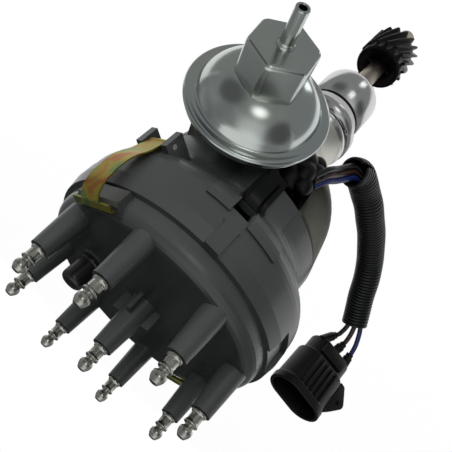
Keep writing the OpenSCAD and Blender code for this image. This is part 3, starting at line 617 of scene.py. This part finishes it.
# Shaft and drive gear
# A ground steel shaft runs in two oiled bronze bushings. The helical gear is hobbed iron with a
# black phosphate skin, pinned to the shaft through its hub.
dress(metal("bushing_bronze", (0.45, 0.28, 0.12), (0.36, 0.2, 0.09), 0.35), "upper_bushing",
      "lower_bushing")
plain_steel = metal("plain_steel", (0.5, 0.5, 0.5), (0.42, 0.42, 0.41), 0.3)
dress(plain_steel, "thrust_washer", "sleeve_retainer")
dress(metal("shaft_steel", (0.32, 0.28, 0.23), (0.22, 0.19, 0.16), 0.3, mottle=120.0), "main_shaft")
phosphate = metal("black_phosphate", (0.024, 0.022, 0.021), (0.014, 0.013, 0.013), 0.4, mottle=200.0)
dress(phosphate, "gear_roll_pin")
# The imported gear's teeth are left-handed. This one is mirrored, so its teeth are right-handed
# as in the photograph, whatever its name says.
bm = merged_copy("drive_gear")
bmesh.ops.scale(bm, verts=bm.verts, vec=(-1, 1, 1))
bmesh.ops.recalc_face_normals(bm, faces=bm.faces)
make_piece("left_hand_gear", bm, phosphate, "gear_iron", "shaft", "drive_gear")

# Centrifugal advance
# Stamped and sintered steel under the base plate: a carrier with two weights, their springs and
# the sleeve that they turn.
zinc = metal("bright_zinc", (0.4, 0.47, 0.5), (0.6, 0.6, 0.53), 0.19, mottle=28.0)
dress(zinc, "weight_plate")
dress(plain_steel, "advance_weight_1", "advance_weight_2", "weight_spring_1", "weight_spring_2",
      "advance_sleeve", "reluctor_pin")
sintered = metal("sintered_iron", (0.2, 0.2, 0.2), (0.14, 0.14, 0.14), 0.5, grain=1500.0,
                 depth=0.0001, strength=0.5)
dress(sintered, "reluctor")

# Pickup
# A plated base plate, screwed into the bowl, with a turning plate on it, which carries the
# magnet, its sintered pole piece and the coil. The vacuum arm pulls the turning plate round.
dress(zinc, "base_plate", "base_plate_screws", "pickup_plate", "vacuum_arm", "diaphragm_plate")
dress(sintered, "pickup_pole")
dress(satin("coil_brown", (0.05, 0.025, 0.012), 0.35, 800.0, 0.0001), "pickup_coil")

# Vacuum unit
# Two pressed steel shells with a rubber diaphragm pinched in their rolled rim, a hexagonal end
# and a hose nozzle, all zinc plated. A bracket, painted dark as the shadow that the canister casts on
# it, and two screws hold it to the bowl.
canister_place = Matrix.Translation(Vector((16.5, 0, 89.2)) * MM) @ Matrix.Rotation(
    math.pi / 2, 4, "X")


def arc(centre, radius, start, end, steps):
    """Points on part of a circle, angles in degrees."""
    turns = (math.radians(start + (end - start) * k / steps) for k in range(steps + 1))
    return [(centre[0] + radius * math.cos(t), centre[1] + radius * math.sin(t)) for t in turns]


dome_centre, dome_r, dome_inner_r = (7.2, 67.5), 23, 22.1
rim_centre, rim_r = (32.5, 73), 1.7
dome_foot = rounded((28.2, 75.6), (28.9, 74.4, 1.1), (30.6, 74.3))[1:]
shell_line = [(10, 89.5), *arc(dome_centre, dome_r, 72, 27, 24), *dome_foot,
              *arc(rim_centre, rim_r, 112, -120, 18), (30.6, 73.2), (27.6, 73.5),
              *arc(dome_centre, dome_inner_r, 26, 72, 16), (10, 88.6)]
make_piece("smooth_front_shell", moved(lathe(shell_line, 128, closed=True), canister_place), zinc,
           "zinc_plate", "case", "canister_front_shell")

hex_flats = 28.2
hex_base, hex_end = 88.4, 106.8
hex_turn = 38.2
hex_corner, hex_rim = 2.2, 2.1
hex_r = hex_flats / math.sqrt(3) * MM
bm = bmesh.new()
bmesh.ops.create_cone(bm, cap_ends=True, segments=6, radius1=hex_r, radius2=hex_r,
                      depth=(hex_end - hex_base) * MM,
                      matrix=Matrix.Translation((0, 0, (hex_base + hex_end) / 2 * MM)))
corner = max(bm.verts, key=lambda v: v.co.x)
turn = math.radians(hex_turn) - math.atan2(corner.co.y, corner.co.x)
bmesh.ops.rotate(bm, verts=bm.verts, matrix=Matrix.Rotation(turn, 3, "Z"))
soften(bm, [e for e in bm.edges if abs(e.verts[0].co.z - e.verts[1].co.z) > MM], hex_corner, 5)
top = (hex_end - 0.1) * MM
soften(bm, [e for e in bm.edges if min(v.co.z for v in e.verts) > top], hex_rim, 5)
make_piece("rounded_hex_end", moved(bm, canister_place), zinc, "zinc_plate", "case", "hex_body",
           crease=60)

nozzle_line = rounded((0, 105.5), (4.1, 106.4), (3.9, 107.5, 0.5), (3.05, 108.2, 0.8),
                      (3.05, 124.6, 0.6), (1.8, 124.6, 0.4), (1.7, 110), (0, 110))
make_piece("smooth_nozzle", moved(lathe(nozzle_line, 48), canister_place), zinc, "zinc_plate",
           "case", "hose_nozzle")
dress(zinc, "canister_back_shell", "bracket_screws")
# Painted shadow: the bracket's dark tone stands for the shade under the canister, not for its
# plating.
dress(metal("bracket_painted_shadow", (0.06, 0.06, 0.05), (0.035, 0.035, 0.03), 0.45), "canister_bracket")
dress(rubber, "diaphragm")
dress(plain_steel, "diaphragm_spring")

# Ground lug
# A pale turned lug stands on the bowl's wall beside the boot, with a plated screw in its end for
# a ground wire.
lug_turn, lug_height = -110, 75
lug_place = Matrix.Rotation(math.radians(lug_turn), 4, "Z") @ Matrix.Translation(
    (0, 0, lug_height * MM)) @ Matrix.Rotation(math.pi / 2, 4, "Y")
turned_lug = metal("turned_lug", (0.62, 0.6, 0.52), (0.5, 0.48, 0.4), 0.3)
lug_line = rounded((0, 42), (3.6, 42), (3.4, 50.6, 0.5), (0, 50.6))
make_piece("ground_lug", moved(lathe(lug_line, 40), lug_place), turned_lug, "cast_aluminium", "case")
olive_plate = metal("olive_plate", (0.2, 0.17, 0.06), (0.12, 0.09, 0.04), 0.35)
screw_line = rounded((0, 50), (2.9, 50), (2.9, 52.2, 0.8), (0, 52.6))
make_piece("lug_screw", moved(lathe(screw_line, 32), lug_place), olive_plate, "yellow_plate", "case",
           "ground_screw")

# Rotor
# A brown phenolic moulding that is pushed on the advance sleeve and turns with it. A flat brass
# blade on its top reaches out to the towers' contacts.
dress(satin("phenolic_brown", (0.045, 0.018, 0.009), 0.3, 900.0, 0.0001), "rotor")
dress(metal("brass", (0.6, 0.42, 0.14), (0.5, 0.33, 0.1), 0.25), "rotor_blade")

# Adapter and cap
# Slate grey mineral-filled mouldings with a satin skin. Screws hold the adapter on the bowl and
# two clips hold the cap on it. A carbon button under the centre tower meets the rotor's blade.
slate = satin("slate_grey", (0.078, 0.085, 0.084), 0.3, 1600.0, 0.00004)
dress(slate, "adapter", "cap", "cap_towers")
dress(zinc, "adapter_screws")
dress(satin("pressed_carbon", (0.02, 0.02, 0.02), 0.6, 900.0, 0.0001), "carbon_button")

# Vent plug
# A glossy black plug with a flange and a round top, pressed into a hole of the cap's face. It
# lets the air out of the cap and keeps water off.
gloss_black = satin("gloss_black", (0.014, 0.014, 0.015), 0.28, 900.0, 0.00003)
vent_x = 33
vent_line = rounded((0, 160), (4, 160), (4, 169.2), (6.6, 169.2, 0.3), (6.6, 171.4, 0.4),
                    (6.1, 171.8), (6.2, 184.6, 2.6), (0, 185.4))
make_piece("vent_cap", moved(lathe(vent_line, 48), Matrix.Translation((vent_x * MM, 0, 0))),
           gloss_black, "black_plastic", "case", "vent_plug")

# Terminals
# Turned posts moulded into the towers: a foot ring, a barrel, a grooved neck and a blunt ball end
# that the lead's spring terminal snaps over.
turned_alloy = metal("turned_alloy", (0.66, 0.66, 0.6), (0.3, 0.3, 0.27), 0.2, mottle=420.0)
post_line = rounded((0, -20), (2.8, -20), (2.8, 0.1), (3.75, 0.1, 0.3), (3.75, 1.3, 0.4),
                    (3.1, 1.8, 0.3), (3.1, 5.5, 0.4), (3.55, 6.1, 0.3), (3.55, 6.9, 0.3),
                    (2.3, 7.3, 0.3), (2.2, 8.5, 0.4), (3.3, 9.1, 0.5), (3.35, 11.3, 1),
                    (2.4, 12.9, 0.7), (1.9, 13.7, 0.4), (0, 13.7))
tower_ring = 53.4
tower_phase = 11.2
ring_top, centre_top = 191.8, 197
ring_places = []
for k in range(8):
    turn = math.radians(tower_phase + 45 * k)
    ring_places.append((tower_ring * math.cos(turn), tower_ring * math.sin(turn), ring_top))
for name, places, stands_for in (("turned_ring_posts", ring_places, "ring_terminals"),
                                 ("turned_centre_post", [(0, 0, centre_top)], "centre_terminal")):
    bm = gather(moved(lathe(post_line, 40), Matrix.Translation(Vector(at) * MM)) for at in places)
    make_piece(name, bm, turned_alloy, "terminal_metal", "case", stands_for)

# Clips
# Spring steel strips, zinc plated with a yellow chromate that turns red and green in the light.
# Each swings on a pin between two ears of the adapter and snaps over the cap's edge.
chromate, tree, shader = new_material("yellow_chromate")
where = put(tree, "ShaderNodeTexCoord").outputs["Object"]
cloud = put(tree, "ShaderNodeTexNoise", Vector=where, Scale=75.0, Detail=3.0, Distortion=0.8)
film = put(tree, "ShaderNodeValToRGB", Fac=cloud.outputs["Fac"])
film_stops = ((0.34, (0.42, 0.16, 0.05, 1)), (0.44, (0.4, 0.31, 0.06, 1)),
              (0.52, (0.33, 0.32, 0.07, 1)), (0.6, (0.14, 0.26, 0.11, 1)),
              (0.68, (0.4, 0.36, 0.1, 1)))
# A new ramp comes with two stops
stops = film.color_ramp.elements
for i, (share, colour) in enumerate(film_stops):
    stop = stops[i] if i < 2 else stops.new(share)
    stop.position = share
    stop.color = colour
tree.links.new(film.outputs[0], shader.inputs["Base Color"])
shader.inputs["Metallic"].default_value = 1.0
shader.inputs["Roughness"].default_value = 0.38
add_grain(tree, shader, where, 1500.0, 3.0, 0.2, 0.00005)
dress(chromate, "spring_clip_1", "spring_clip_2")
dress(plain_steel, "clip_pin_1", "clip_pin_2")

# Boot
# Soft black rubber in a slot of the bowl's wall, which keeps dirt out where the wires leave. It
# folds over them in uneven lobes, each given here by its centre and its three half sizes.
boot_lobes = (((-14, -47, 88), (8, 8, 9)), ((-13.5, -50.5, 80), (8.5, 7, 8)),
              ((-21, -49.5, 90), (5.5, 5, 5)), ((-22.5, -50, 79), (5, 4.5, 4.5)),
              ((-18, -52.5, 85), (5.5, 5, 6)), ((-20, -49, 74), (4.5, 4, 5)))
bm = bmesh.new()
for centre, size in boot_lobes:
    lobe_place = Matrix.Translation(Vector(centre) * MM) @ Matrix.Diagonal((*size, 1))
    bmesh.ops.create_uvsphere(bm, u_segments=32, v_segments=20, radius=MM, matrix=lobe_place)
make_piece("wire_boot", bm, rubber, "black_rubber", "case", "grommet")

# Boot strap and painted shade
# A flat black rubber tail of the boot, which lies in the adapter's channel and reaches up to the
# keyway window. Its black is partly painted shade, for the darkness in the channel under the
# canister. It follows the adapter's skin closely, a little proud of it.
bm = bmesh.new()
bm.from_mesh(nodes["adapter"].data)
bm.transform(nodes["adapter"].matrix_world)
adapter_skin = BVHTree.FromBMesh(bm)
bm.free()
shade_strap_turn = math.radians(-101.3)
shade_strap_half = 6.5
shade_strap_low, shade_strap_high = 97, 125.5
shade_strap_r = 58
rise, shade_strap_wall = 0.7, 0.9
# Each point is looked for from outside. One that meets no skin takes the radius below it.
search_from, search_length = 90, 40
lower_skin_r = 53
bm = bmesh.new()
bmesh.ops.create_grid(bm, x_segments=12, y_segments=24, size=1)
for vert in bm.verts:
    turn = shade_strap_turn + math.atan2(vert.co.x * shade_strap_half, shade_strap_r)
    outward = Vector((math.cos(turn), math.sin(turn), 0))
    level = Vector((0, 0, (shade_strap_low + (shade_strap_high - shade_strap_low) * (vert.co.y + 1) / 2) * MM))
    found = adapter_skin.ray_cast(outward * search_from * MM + level, -outward,
                                  search_length * MM)[0]
    vert.co = (found or outward * lower_skin_r * MM + level) + rise * MM * outward
bmesh.ops.recalc_face_normals(bm, faces=bm.faces)
bmesh.ops.solidify(bm, geom=bm.faces[:], thickness=-shade_strap_wall * MM)
# Painted shade: this thin black sheet darkens the adapter's channel under the canister.
make_piece("boot_tail_painted_shade", bm, rubber, "black_rubber", "case")
